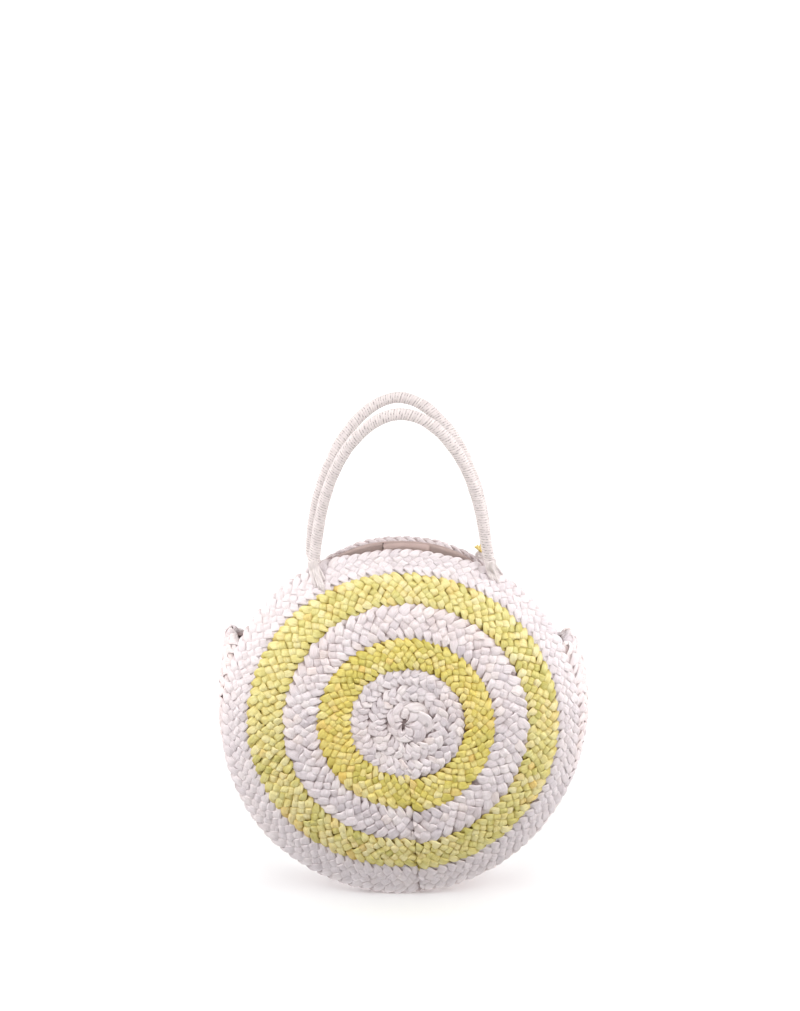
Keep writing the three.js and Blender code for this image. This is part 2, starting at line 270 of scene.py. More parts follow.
# Kinds of plait: sizes of a strand, and of the way it takes across the plait
COIL_PLAIT = {
    "strands": 5,
    "pitch": 10.3,
    "half_width": 17.0,
    "overlap": 2.0,
    "width": 8.5,
    "crown": 1.5,
    "underside": 1.2,
    "lift": 1.4,
    "uneven": 1.0,
}
RIM_PLAIT = {**COIL_PLAIT, "width": 9.3, "crown": 1.25, "lift": 1.15, "uneven": 0.6}
OUTER_PLAIT = {**COIL_PLAIT, "strands": 6, "pitch": 9.2, "width": 7.5, "crown": 1.75, "lift": 1.55}
INNER_PLAIT = {**OUTER_PLAIT, "pitch": 8.6, "half_width": 15.5, "width": 7.2}
CURL_PLAIT = {
    **COIL_PLAIT,
    "strands": 3,
    "pitch": 10.5,
    "half_width": 9.0,
    "overlap": 1.2,
    "width": 8.2,
    "lift": 1.2,
}
CENTRE_PLAIT = {
    **CURL_PLAIT, "pitch": 8.2, "half_width": 8.7, "overlap": 1.5, "width": 7.6, "crown": 1.4,
}
TURN_SHARPNESS = 0.985
HALF_PERIOD = 0.5

# Section of a strand: a puffed crown, and an underside of few points
SECTION_TURNS = np.radians([0, 36, 72, 108, 144, 180, 240, 300])
SECTION_POWER = 0.55

# Hand-made unevenness: how far each quantity strays, and how far a husk swells on top
UNEVEN = {"width": 0.1, "aside": 0.05, "lift": 0.05, "tilt": 0.2, "along": 0.09, "lean": 0.16}
UNEVEN_LIMIT = 1.9
TOP_SWELL = 0.07

# Ends of a plait, in pitches and millimetres: lapped in a seam, tucked in, or closed to a ring
END_TUCK = 0.5
END_SHRINK = 0.15
END_OVERLAP = 0.1
END_LIFTS = {"lapped": (1.2, -2.6), "tucked": (-2.4, -2.4), "closed": (0.0, 0.0)}

# A thin bed under the strands, so that no gap between them is open
BED_TOP = -0.35
BED_UNDERSIDE = -0.9
BED_REACH = (0.95, 0.95)
GUSSET_BED_REACH = (1.01, 0.95)
CENTRE_BED_REACH = (1.02, 1.02)
# The bed sits at the dark end of the husk's shade ramp: painted shade seen through the gaps between
# strands
BED_SINK = 0.05
BED_STEPS = 3
STRAND_OFFSET = 400.0

# The floor of the curl's slit
SLIT_FLOOR_SIDES = 24
SLIT_FLOOR_RADII = (0.3, 10.0)
SLIT_FLOOR_LIFTS = (-1.4, -2.0)
SLIT_FLOOR_TINT = 0.5


def triangle_wave(phase):
    """A zigzag from -1 to 1 and back, its corners slightly rounded."""
    wave = TURN_SHARPNESS * np.sin(FULL_TURN * (phase - HALF_PERIOD / 2))
    return np.arcsin(wave) / math.asin(TURN_SHARPNESS)


def crossing_count(phase, strands):
    """Crossings that a strand has passed: even where it lies on top, odd underneath."""
    per_period = 2 * (strands - 1)
    one_way = np.arange(1, strands) / (2 * strands)
    places = np.concatenate([one_way, HALF_PERIOD + one_way])
    places = np.concatenate([[places[-1] - 1], places, [1 + places[0]]])
    counts = np.arange(-1, per_period + 1)
    whole = np.floor(phase)
    return per_period * whole + np.interp(phase - whole, places, counts)


def strand_section(plait):
    """Points round a strand, as across and height."""
    cosine, sine = np.cos(SECTION_TURNS), np.sin(SECTION_TURNS)
    across = plait["width"] / 2 * np.sign(cosine) * np.abs(cosine) ** SECTION_POWER
    thickness = np.where(sine >= 0, plait["crown"], plait["underside"])
    return across, thickness * np.sign(sine) * np.abs(sine) ** SECTION_POWER


def uneven(rng, counts, amount):
    """Smooth hand-made drift along a strand, drawn afresh at each crossing."""
    first = int(np.floor(counts[0])) - 1
    knots = np.arange(first, int(np.ceil(counts[-1])) + 2)
    drift = {}
    for quantity, spread in UNEVEN.items():
        draws = np.clip(rng.standard_normal(len(knots)), -UNEVEN_LIMIT, UNEVEN_LIMIT)
        drift[quantity] = amount * spread * np.interp(counts, knots, draws)
    return drift


def plait_strand(rng, place, plait, strand, pitches, steps, ends):
    """One strand of a plait: its points, and what the material reads from them."""
    strands, pitch = plait["strands"], plait["pitch"]
    span = pitches * pitch
    end = pitches if ends == "closed" else pitches + END_OVERLAP
    progress = np.linspace(0, end / strands, int(round(end * steps)) + 1)
    phase = progress + strand / strands
    counts = crossing_count(phase, strands)
    drift = uneven(rng, counts, plait["uneven"])
    on_top = np.cos(math.pi * counts)
    reach = plait["half_width"] - plait["width"] / 2 + plait["overlap"]
    along = progress * strands * pitch
    aside = reach * triangle_wave(phase)
    heading = np.arctan2(np.gradient(aside), np.gradient(along)) + drift["lean"]

    first_end = np.clip(1 - along / pitch / END_TUCK, 0, 1) ** 2
    last_end = np.clip(1 - (end - along / pitch) / END_TUCK, 0, 1) ** 2
    first_lift, last_lift = END_LIFTS[ends]
    shrink = 0 if ends == "closed" else END_SHRINK
    lift = plait["lift"] * on_top + plait["width"] * drift["lift"]
    lift = lift + first_lift * first_end + last_lift * last_end

    section_across, section_height = strand_section(plait)
    width = (1 + drift["width"] + TOP_SWELL * on_top) * (1 - shrink * (first_end + last_end))
    across = width[:, None] * section_across
    height = (1 + TOP_SWELL * on_top)[:, None] * section_height
    cosine, sine = np.cos(drift["tilt"])[:, None], np.sin(drift["tilt"])[:, None]
    level = across * cosine - height * sine
    h = lift[:, None] + across * sine + height * cosine
    u = (along + pitch * drift["along"])[:, None] - level * np.sin(heading)[:, None]
    v = (aside + plait["width"] * drift["aside"])[:, None] + level * np.cos(heading)[:, None]
    if ends != "closed":
        u = np.clip(u, 0, end * pitch)
    points = place(u / span, v / plait["half_width"], h)

    cells = np.floor((counts + 1) / 2).astype(int)
    cells -= cells.min()
    tints = rng.random(cells.max() + 1)[cells]
    run = np.cumsum(np.hypot(np.gradient(along), np.gradient(aside))) + STRAND_OFFSET * rng.random()
    deepest = plait["lift"] + plait["crown"]
    return {
        "points": points,
        "tint": np.broadcast_to(tints[:, None], h.shape),
        "sink": np.clip(np.abs(h) / deepest, 0, 1),
        "fibre": np.stack(np.broadcast_arrays(run[:, None], section_across, h), axis=-1),
    }


def plait_bed(rng, place, plait, pitches, reach):
    """The thin bed under a plait's strands."""
    rows = int(pitches * BED_STEPS) + 1
    share = np.linspace(0, 1, rows)[:, None]
    across = np.array([-reach[0], reach[1], reach[1], -reach[0]])
    lift = np.array([BED_TOP, BED_TOP, BED_UNDERSIDE, BED_UNDERSIDE])
    shape = (rows, len(across))
    share = np.broadcast_to(share, shape)
    run = share * pitches * plait["pitch"]
    return {
        "points": place(share, np.broadcast_to(across, shape), np.broadcast_to(lift, shape)),
        "tint": np.broadcast_to(rng.random(rows)[:, None], shape),
        "sink": np.full(shape, BED_SINK),
        "fibre": np.stack([run, run, run], axis=-1),
    }


def slit_floor(side):
    """A small disc that closes the slit in the curl from behind, dark with the crevices' painted shade.
    """
    angle = np.linspace(0, FULL_TURN, SLIT_FLOOR_SIDES, endpoint=False)
    small, large = SLIT_FLOOR_RADII
    top, underside = SLIT_FLOOR_LIFTS
    radius = np.array([small, large, large, small])[:, None]
    lift = np.array([top, top, underside, underside])[:, None]
    shape = (len(radius), SLIT_FLOOR_SIDES)
    spread = np.broadcast_to(radius, shape)
    return {
        "points": panel_place(side, spread, np.broadcast_to(angle, shape), np.broadcast_to(lift, shape)),
        "tint": np.full(shape, SLIT_FLOOR_TINT),
        "sink": np.full(shape, BED_SINK),
        "fibre": np.stack([spread, spread, spread], axis=-1),
    }


def tube_quads(rows, count):
    """Quads of a tube of closed rows, with both ends closed. The count is even."""
    row, i = np.meshgrid(np.arange(rows - 1), np.arange(count), indexing="ij")
    j = (i + 1) % count
    here, beyond = row * count, (row + 1) * count
    skin = np.stack([here + i, here + j, beyond + j, beyond + i], axis=-1)
    k = np.arange(count // 2 - 1)
    cap = np.stack([k, k + 1, count - 2 - k, count - 1 - k], axis=-1)
    return np.concatenate([skin.reshape(-1, 4), cap[:, ::-1], cap + (rows - 1) * count])


def outward(points, quads):
    """Turns the quads of a closed skin the right way out, from the sign of its volume."""
    a, b, c, d = (points[quads[:, k]] - points[0] for k in range(4))
    volume = np.sum(a * (np.cross(b, c) + np.cross(c, d)))
    return quads if volume > 0 else quads[:, ::-1]


def join_tubes(parts):
    """Joins tubes into one set of points, quads and vertex values."""
    points, quads = [], []
    base = 0
    for part in parts:
        rows, count = part["points"].shape[:2]
        flat = part["points"].reshape(-1, 3)
        quads.append(base + outward(flat, tube_quads(rows, count)))
        points.append(flat)
        base += rows * count
    values = {}
    for key in parts[0]:
        if key != "points":
            size = (-1, 3) if parts[0][key].ndim == 3 else (-1,)
            values[key] = np.concatenate([part[key].reshape(size) for part in parts])
    return np.concatenate(points), np.concatenate(quads), values


def mesh_piece(name, parts, material):
    """A smooth mesh object from tubes, in millimetres."""
    points, quads, values = join_tubes(parts)
    mesh = bpy.data.meshes.new(name)
    mesh.vertices.add(len(points))
    mesh.vertices.foreach_set("co", (points * MM).astype(np.float32).ravel())
    mesh.loops.add(quads.size)
    mesh.loops.foreach_set("vertex_index", quads.astype(np.int32).ravel())
    mesh.polygons.add(len(quads))
    starts = np.arange(0, quads.size, quads.shape[1], dtype=np.int32)
    mesh.polygons.foreach_set("loop_start", starts)
    mesh.polygons.foreach_set("use_smooth", np.ones(len(quads), dtype=bool))
    for key, numbers in values.items():
        numbers = np.ascontiguousarray(numbers, dtype=np.float32)
        if numbers.ndim == 2:
            mesh.attributes.new(key, "FLOAT_VECTOR", "POINT").data.foreach_set("vector", numbers.ravel())
        else:
            mesh.attributes.new(key, "FLOAT", "POINT").data.foreach_set("value", numbers)
    mesh.update(calc_edges=True)
    mesh.materials.append(material)
    piece = bpy.data.objects.new(name, mesh)
    bpy.context.collection.objects.link(piece)
    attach(piece, "root")
    return piece


# Settings that the materials share
WHITE_LIGHT = (1.0, 1.0, 1.0)
NOISE_DETAIL = 3.0
NOISE_ROUGHNESS = 0.55


def grey(level):
    """A colour with its three parts alike."""
    return (level,) * 3


def grey_stops(stops):
    """Stops of a ramp from grey levels."""
    return [(place, grey(level)) for place, level in stops]


class Nodes:
    """Short calls for building the node tree of a material or a world."""

    def __init__(self, owner):
        owner.use_nodes = True
        self.owner = owner
        self.tree = owner.node_tree

    def feed(self, node, inputs):
        """Gives a node's inputs, by name or number, other nodes' outputs or plain values."""
        for key, value in inputs.items():
            socket = node.inputs[key]
            if isinstance(value, bpy.types.NodeSocket):
                self.tree.links.new(value, socket)
            else:
                socket.default_value = (*value, 1.0) if socket.type == "RGBA" else value

    def add(self, kind, inputs=None, **settings):
        node = self.tree.nodes.new(kind)
        for key, value in settings.items():
            setattr(node, key, value)
        self.feed(node, inputs or {})
        return node

    def attribute(self, name, output="Fac"):
        return self.add("ShaderNodeAttribute", attribute_name=name).outputs[output]

    def place(self):
        return self.add("ShaderNodeTexCoord").outputs["Object"]

    def ramp(self, fac, stops):
        node = self.add("ShaderNodeValToRGB", {"Fac": fac})
        elements = node.color_ramp.elements
        while len(elements) < len(stops):
            elements.new(1.0)
        for element, (place, colour) in zip(elements, stops):
            element.position = place
            element.color = (*colour, 1.0)
        return node.outputs["Color"]

    def mix(self, fac, a, b, blend="MIX"):
        node = self.add("ShaderNodeMix", data_type="RGBA", blend_type=blend)
        numbers = [i for i, socket in enumerate(node.inputs) if socket.enabled]
        self.feed(node, dict(zip(numbers, (fac, a, b))))
        return [socket for socket in node.outputs if socket.enabled][0]

    def darken(self, colour, by, fac=1.0):
        return self.mix(fac, colour, by, "MULTIPLY")

    def noise(self, vector, scale=1.0, detail=NOISE_DETAIL, roughness=NOISE_ROUGHNESS):
        inputs = {"Vector": vector, "Scale": scale, "Detail": detail, "Roughness": roughness}
        return self.add("ShaderNodeTexNoise", inputs).outputs["Fac"]

    def stretch(self, vector, scale):
        return self.add("ShaderNodeMapping", {"Vector": vector, "Scale": scale}).outputs["Vector"]

    def streaks(self, stretch, **noise):
        """Noise drawn out along the fibres."""
        return self.noise(self.stretch(self.attribute("fibre", "Vector"), stretch), **noise)

    def spots(self, low, high, amount, **noise):
        """Soft spots of noise, from nothing at the low level to the amount at the high one."""
        return self.ramp(self.noise(self.place(), **noise), grey_stops([(low, 0.0), (high, amount)]))

    def bump(self, height, strength, distance):
        inputs = {"Height": height, "Strength": strength, "Distance": distance}
        return self.add("ShaderNodeBump", inputs)

    def finish(self, colour, roughness, specular, bump):
        shader = self.tree.nodes["Principled BSDF"]
        self.feed(shader, {"Base Color": colour, "Roughness": roughness})
        self.feed(shader, {"Specular IOR Level": specular, "Normal": bump.outputs["Normal"]})
        return self.owner


# Husk: how large its patches, mottle, streaks and folds are, how far each one shows, and how deep its
# painted shade reaches
PATCHES = {"scale": 11.0, "detail": 2.0, "low": 0.45, "high": 0.65}
MOTTLE = {"scale": 90.0, "detail": 2.0, "low": 0.42, "high": 0.68, "amount": 0.55}
STREAKS = {"stretch": (0.09, 1.4, 0.3), "detail": 5.0, "roughness": 0.65}
STREAK_DARK = 0.32
STREAK_PALE = 0.6
STREAK_BUMP = {"strength": 0.4, "distance": 0.0005}
STREAK_ROUGHNESS = [(0.3, 0.75), (0.7, 0.55)]
FOLDS = {"stretch": (0.14, 0.45, 0.2), "detail": 2.0}
FOLD_BUMP = {"strength": 0.5, "distance": 0.0014}
# Painted shade: by how deep a point sinks in the plait, the colour falls to the edge shade at the
# strands' edges and to the crevice shade between strands
EDGE_SINK = 0.38
TOP_SINK = 0.8
HUSK_SPECULAR = 0.3


def husk_material(name, cells, patch, patch_amount, mottle, streak, edge, crevice_shade):
    """Dry husk: a colour for each cell of the plait, faded patches, fibre streaks, and painted shade
    that darkens the strands' edges and the crevices between them.
    """
    nodes = Nodes(bpy.data.materials.new(name))
    colour = nodes.ramp(nodes.attribute("tint"), cells)
    colour = nodes.mix(nodes.spots(amount=patch_amount, **PATCHES), colour, patch)
    colour = nodes.mix(nodes.spots(**MOTTLE), colour, mottle)
    streaks = nodes.streaks(**STREAKS)
    shades = [(STREAK_DARK, streak), (STREAK_PALE, WHITE_LIGHT)]
    colour = nodes.darken(colour, nodes.ramp(streaks, shades))
    # Painted shade at the strands' edges and in the crevices between them
    depth = [(0.0, crevice_shade), (EDGE_SINK, edge), (TOP_SINK, WHITE_LIGHT)]
    colour = nodes.darken(colour, nodes.ramp(nodes.attribute("sink"), depth))
    folds = nodes.bump(nodes.streaks(**FOLDS), **FOLD_BUMP)
    bump = nodes.bump(streaks, **STREAK_BUMP)
    nodes.feed(bump, {"Normal": folds.outputs["Normal"]})
    return nodes.finish(colour, nodes.ramp(streaks, grey_stops(STREAK_ROUGHNESS)), HUSK_SPECULAR, bump)


# Wound fibre: its tints, painted shade between the turns, and short dark dashes of painted shadow there
ROPE_TINT = {"stretch": (0.05, 0.35, 0.1), "detail": 2.0}
ROPE_TINTS = [(0.3, (0.63, 0.565, 0.555)), (0.5, (0.7, 0.63, 0.62)), (0.7, (0.75, 0.68, 0.66))]
ROPE_DEPTH = [(0.05, (0.75, 0.7, 0.69)), (0.6, WHITE_LIGHT)]
ROPE_GAPS = [(0.25, (0.3, 0.27, 0.26)), (0.75, WHITE_LIGHT)]
ROPE_DASH = {"stretch": (0.28, 0.38, 0.0), "detail": 1.0}
ROPE_DASHES = [(0.46, 0.0), (0.6, 1.0)]
ROPE_THREADS = {"stretch": (0.4, 3.0, 1.0), "detail": 4.0}
ROPE_BUMP = {"strength": 0.5, "distance": 0.0004}
ROPE_ROUGHNESS = 0.75
ROPE_SPECULAR = 0.25


def rope_material():
    """Pale fibre wound round a rope, with painted shade and dashes of painted shadow in the grooves
    between its turns.
    """
    nodes = Nodes(bpy.data.materials.new("wrapped_rope"))
    sink = nodes.attribute("sink")
    colour = nodes.ramp(nodes.streaks(**ROPE_TINT), ROPE_TINTS)
    # Painted shade in the grooves between the turns, then painted shadow in short dashes there
    colour = nodes.darken(colour, nodes.ramp(sink, ROPE_DEPTH))
    dashes = nodes.ramp(nodes.streaks(**ROPE_DASH), grey_stops(ROPE_DASHES))
    colour = nodes.darken(colour, nodes.ramp(sink, ROPE_GAPS), dashes)
    threads = nodes.bump(nodes.streaks(**ROPE_THREADS), **ROPE_BUMP)
    return nodes.finish(colour, ROPE_ROUGHNESS, ROPE_SPECULAR, threads)


# Lining cloth: its weave, and the blotches of its colour
WEAVE = {"Scale": 420.0, "Distortion": 1.5}
WEAVE_AMOUNT = 0.2
WEAVE_BUMP = {"strength": 0.3, "distance": 0.0003}
BLOTCH_SCALE = 30.0
BLOTCHES = [(0.3, (0.63, 0.48, 0.445)), (0.7, (0.72, 0.57, 0.525))]
CLOTH_ROUGHNESS = 0.9
CLOTH_SPECULAR = 0.15


def cloth_material():
    """Plain woven lining cloth."""
    nodes = Nodes(bpy.data.materials.new("lining_cloth"))
    place = nodes.place()
    threads = []
    for direction in ("X", "Z"):
        wave = nodes.add("ShaderNodeTexWave", {"Vector": place, **WEAVE}, bands_direction=direction)
        threads.append(wave.outputs["Fac"])
    weave = nodes.darken(threads[0], threads[1])
    colour = nodes.ramp(nodes.noise(place, BLOTCH_SCALE), BLOTCHES)
    colour = nodes.darken(colour, weave, WEAVE_AMOUNT)
    # The shade attribute darkens parts; on the seam cord that darkness is painted shadow
    colour = nodes.darken(colour, nodes.attribute("shade", "Color"))
    return nodes.finish(colour, CLOTH_ROUGHNESS, CLOTH_SPECULAR, nodes.bump(weave, **WEAVE_BUMP))


# The looks: four husks, the rope and the cloth
# In each husk, edge and crevice_shade are painted shade: the darker colours at the strands' edges and in
# the crevices between them
WHITE = husk_material(
    "white_husk",
    cells=[
        (0.0, (0.62, 0.56, 0.585)), (0.3, (0.745, 0.675, 0.69)), (0.7, (0.8, 0.73, 0.74)),
        (0.9, (0.84, 0.775, 0.765)), (1.0, (0.8, 0.7, 0.67)),
    ],
    patch=(0.79, 0.67, 0.635),
    patch_amount=0.6,
    mottle=(0.81, 0.75, 0.77),
    streak=(0.84, 0.8, 0.79),
    edge=(0.94, 0.93, 0.925),
    crevice_shade=(0.48, 0.4, 0.385),
)
RIM_WHITE = husk_material(
    "rim_white_husk",
    cells=[
        (0.0, (0.665, 0.6, 0.62)), (0.3, (0.73, 0.663, 0.675)), (0.7, (0.76, 0.692, 0.705)),
        (1.0, (0.795, 0.727, 0.727)),
    ],
    patch=(0.76, 0.675, 0.66),
    patch_amount=0.35,
    mottle=(0.775, 0.717, 0.742),
    streak=(0.86, 0.83, 0.82),
    edge=(0.95, 0.94, 0.935),
    crevice_shade=(0.56, 0.48, 0.46),
)
INNER_YELLOW = husk_material(
    "inner_yellow_husk",
    cells=[
        (0.0, (0.58, 0.51, 0.12)), (0.35, (0.73, 0.63, 0.17)), (0.65, (0.8, 0.69, 0.26)),
        (0.88, (0.84, 0.76, 0.42)), (1.0, (0.77, 0.54, 0.14)),
    ],
    patch=(0.79, 0.63, 0.18),
    patch_amount=0.6,
    mottle=(0.79, 0.715, 0.3),
    streak=(0.84, 0.78, 0.62),
    edge=(0.87, 0.8, 0.62),
    crevice_shade=(0.22, 0.14, 0.03),
)
OUTER_YELLOW = husk_material(
    "outer_yellow_husk",
    cells=[
        (0.0, (0.54, 0.495, 0.15)), (0.35, (0.68, 0.605, 0.22)), (0.65, (0.77, 0.67, 0.31)),
        (0.88, (0.82, 0.75, 0.47)), (1.0, (0.74, 0.54, 0.18)),
    ],
    patch=(0.74, 0.66, 0.28),
    patch_amount=0.6,
    mottle=(0.77, 0.74, 0.4),
    streak=(0.84, 0.78, 0.62),
    edge=(0.88, 0.82, 0.65),
    crevice_shade=(0.22, 0.16, 0.05),
)
ROPE = rope_material()
LINING_CLOTH = cloth_material()

# Coils of a panel from the centre out: name, edges, look, and plaits with pitches, span and bed
WHOLE = (0.0, 1.0)
INNER_HALF = (0.0, 0.5)
OUTER_HALF = (0.5, 1.0)
COILS = [
    ("centre_curl", ("slit", "curl"), WHITE, [(CURL_PLAIT, 7, WHOLE, BED_REACH)]),
    ("centre_ring", ("curl", "centre"), WHITE, [
        (CENTRE_PLAIT, 24, INNER_HALF, CENTRE_BED_REACH),
        (CENTRE_PLAIT, 37, OUTER_HALF, CENTRE_BED_REACH),
    ]),
    ("inner_yellow_ring", ("centre", "inner_yellow"), INNER_YELLOW, [
        (INNER_PLAIT, 53.6, WHOLE, BED_REACH),
    ]),
    ("white_ring", ("inner_yellow", "white"), WHITE, [(COIL_PLAIT, 63.7, WHOLE, BED_REACH)]),
    ("outer_yellow_ring", ("white", "outer_yellow"), OUTER_YELLOW, [
        (OUTER_PLAIT, 94.4, WHOLE, BED_REACH),
    ]),
    ("rim_ring", ("outer_yellow", "rim"), RIM_WHITE, [(RIM_PLAIT, 102.6, WHOLE, BED_REACH)]),
]
SEAMLESS = ("centre_curl", "centre_ring")
ROWS_PER_PITCH = {"front": 10.5, "back": 8.0}
GUSSET_PITCHES = 73.5


def plait_parts(rng, place, plait, pitches, steps, ends, bed):
    """All the strands of one plait, and the bed under them."""
    parts = [
        plait_strand(rng, place, plait, strand, pitches, steps, ends)
        for strand in range(plait["strands"])
    ]
    return parts + [plait_bed(rng, place, plait, pitches, bed)]


def plait_piece(node, look, parts):
    """Plaited strands as one piece that stands for a solid."""
    piece = mesh_piece(f"{node}_plait", parts, look)
    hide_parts(node)


def build_coil(face, coil, seed):
    """One coil of a panel."""
    name, (inner, outer), look, plaits = coil
    rng = np.random.default_rng(seed)
    ends, seam_step = ("closed", 0) if name in SEAMLESS else ("lapped", SEAM_STEP)
    parts = []
    for plait, pitches, span, bed in plaits:
        place = ring_place(SIDES[face], inner, outer, span, seam_step)
        parts.extend(plait_parts(rng, place, plait, pitches, ROWS_PER_PITCH[face], ends, bed))
    if inner == "slit":
        parts.append(slit_floor(SIDES[face]))
    plait_piece(f"{face}_{name}", look, parts)


def build_gusset_band(face, seed):
    """One of the two bands of the gusset."""
    rng = np.random.default_rng(seed)
    place = gusset_place(SIDES[face])
    steps = ROWS_PER_PITCH[face]
    parts = plait_parts(rng, place, COIL_PLAIT, GUSSET_PITCHES, steps, "tucked", GUSSET_BED_REACH)
    plait_piece(f"gusset_{face}_band", WHITE, parts)


def build_panel(face, seed):
    """The curl and the coils of one panel, and its band of the gusset."""
    for i, coil in enumerate(COILS):
        build_coil(face, coil, seed + i)
    build_gusset_band(face, seed + len(COILS))


# Handles: a rope wound with fibre, and the strands of its feet sewn over the rim
ROPE_RADIUS = 5.5
ARCH_LEAN = 8.5
FOOT_SINK = 0.7
SPLAY_POWER = 8
ARCHES = {
    "front": {
        "middle": -3.5, "half_width": 84.6, "base": 348.0, "rise": 156.5, "point": 1.05,
        "splay": (3.5, 5.5), "runs": ((0.35, -0.94), (0.4, -0.92)), "reach": (25.0, 17.0),
    },
    "back": {
        "middle": -6.0, "half_width": 90.5, "base": 342.0, "rise": 161.0, "point": 1.1,
        "splay": (0.0, 0.0), "runs": ((0.5, -0.87), (-0.5, -0.87)), "reach": (18.0, 18.0),
    },
}
ARCH_ROWS = 400
WRAP_PITCH = 2.65
WRAP_STARTS = 3
WRAP_ROWS = 9
WRAP_RIDGE = 0.6
WRAP_ROUNDNESS = 0.7
WRAP_PUFF = 0.5
WRAP_WANDER = 0.18
ROPE_SIDES = 14
ROPE_LUMP = 0.2
LUMP_SPACING = 10.0

# Strands of a foot: how they stray, spread, land on the rim and are tucked in
FOOT = {"strands": 9, "radius": 1.4, "spread": 6.0, "above": 5.0}
FOOT_ROWS = 18
FOOT_SIDES = 8
FOOT_SHADE = 0.8
FOOT_OUTER_SHORTER = 0.2
FOOT_LENGTH_STRAY = 0.1
FOOT_RADIUS_STRAY = 0.15
FOOT_ON_ROPE = 0.75
FOOT_SPREAD_FROM = 0.3
FOOT_LANDING = (0.2, 0.85)
FOOT_PROUD = 0.35
FOOT_TUCK = 3.5

# The rope's tail, coiled into a small knot on the rim at the back handle's right foot
KNOT = {
    "place": (78.0, 26.5, 344.0),
    "turns": 1.7, "inner": 1.0, "outer": 4.3, "bulge": 1.5, "thickness": 1.1,
}
KNOT_ROWS = 48


def crown_depth(side, x, z):
    """Depth of the rim ring's crown under a point seen from the front."""
    angle = np.arctan2(z - CENTRE_HEIGHT, x)
    radius = np.minimum(np.hypot(x, z - CENTRE_HEIGHT), edge_radius(side, "rim", angle))
    return panel_depth(side, radius, angle) + half_plait(side, radius, angle)


def tube_rows(path, radii):
    """Rows of points round a path, with a radius for each point of each row."""
    tangent = np.gradient(path, axis=0)
    tangent /= np.linalg.norm(tangent, axis=1, keepdims=True)
    away = np.zeros_like(path)
    away[:, 1] = 1
    away -= tangent * np.sum(away * tangent, axis=1, keepdims=True)
    away /= np.linalg.norm(away, axis=1, keepdims=True)
    sideways = np.cross(tangent, away)
    turn = FULL_TURN * np.arange(radii.shape[1]) / radii.shape[1]
    ring = np.cos(turn)[:, None] * sideways[:, None] + np.sin(turn)[:, None] * away[:, None]
    return path[:, None] + radii[..., None] * ring


def even_path(path, rows):
    """The same line with its points an equal way apart, and how far along each one lies."""
    run = np.concatenate([[0], np.cumsum(np.linalg.norm(np.diff(path, axis=0), axis=1))])
    even = np.linspace(0, run[-1], rows)
    return np.stack([np.interp(even, run, path[:, k]) for k in range(3)], axis=-1), even


def drift_along(rng, run, spacing, spread):
    """A smooth random drift along a line."""
    knots = np.arange(0, run[-1] + spacing, spacing)
    return spread * np.interp(run, knots, rng.standard_normal(len(knots)))


def arch_path(face):
    """The rope's middle line over the arch."""
    arch, side = ARCHES[face], SIDES[face]
    angle = np.linspace(math.pi, 0, ARCH_ROWS)
    across = np.cos(angle)
    rise = np.sin(angle)
    splay = np.where(across < 0, *arch["splay"]) * (1 - rise) ** SPLAY_POWER
    half_width = arch["half_width"] * np.abs(across) ** arch["point"] + splay
    x = arch["middle"] + np.sign(across) * half_width
    depth = crown_depth(side, x, arch["base"]) + FOOT_SINK * ROPE_RADIUS + ARCH_LEAN * rise
    return np.stack([x, side * depth, arch["base"] + arch["rise"] * rise], axis=-1)


def wound_rope(face, rng):
    """The rope with a raised ridge for each turn of its wrapping."""
    path, run = even_path(arch_path(face), ARCH_ROWS)
    path, run = even_path(path, int(run[-1] / WRAP_PITCH * WRAP_ROWS))
    turn = np.arange(ROPE_SIDES) / ROPE_SIDES
    wander = drift_along(rng, run, LUMP_SPACING, WRAP_WANDER)
    wind = (run / WRAP_PITCH + wander)[:, None] - WRAP_STARTS * turn
    ridge = np.abs(np.sin(math.pi * wind)) ** WRAP_ROUNDNESS
    lumps = drift_along(rng, run, LUMP_SPACING, ROPE_LUMP)
    radii = ROPE_RADIUS + WRAP_PUFF + WRAP_RIDGE * (ridge - 1) + lumps[:, None]
    around_rope = np.broadcast_to(turn * FULL_TURN * ROPE_RADIUS, ridge.shape)
    return {
        "points": tube_rows(path, radii),
        "sink": ridge,
        "fibre": np.stack([around_rope, wind * WRAP_PITCH, ridge], axis=-1),
    }


def foot_strand(face, rng, foot_x, run, length, fan):
    """One strand of a foot, from the rope's skin to where it is tucked under the plait."""
    side = SIDES[face]
    share = np.linspace(0, 1, FOOT_ROWS)
    reach = length * (1 - FOOT_OUTER_SHORTER * fan**2 + FOOT_LENGTH_STRAY * rng.standard_normal())
    down = (reach + FOOT["above"]) * share - FOOT["above"]
    narrow = FOOT_ON_ROPE * ROPE_RADIUS
    spread = fan * (narrow + (FOOT["spread"] - narrow) * smooth_rise(share, FOOT_SPREAD_FROM, 1.0))
    x = foot_x + run[0] * np.maximum(down, 0) - run[1] * spread
    z = ARCHES[face]["base"] + run[1] * down + run[0] * spread
    on_rope = FOOT_SINK * ROPE_RADIUS + ROPE_RADIUS * math.sqrt(1 - (FOOT_ON_ROPE * fan) ** 2)
    proud = on_rope * (1 - smooth_rise(share, *FOOT_LANDING)) + FOOT_PROUD * FOOT["radius"]
    proud = proud - FOOT_TUCK * smooth_rise(share, FOOT_LANDING[1], 1.0)
    path = np.stack([x, side * (crown_depth(side, x, z) + proud), z], axis=-1)
    shape = (FOOT_ROWS, FOOT_SIDES)
    thickness = FOOT["radius"] * (1 + FOOT_RADIUS_STRAY * rng.standard_normal())
    along = np.broadcast_to(down[:, None], shape)
    girth = np.broadcast_to(np.arange(FOOT_SIDES) + LUMP_SPACING * fan, shape)
    return {
        "points": tube_rows(path, np.full(shape, thickness)),
        "sink": np.full(shape, FOOT_SHADE),
        "fibre": np.stack([along, girth, along], axis=-1),
    }


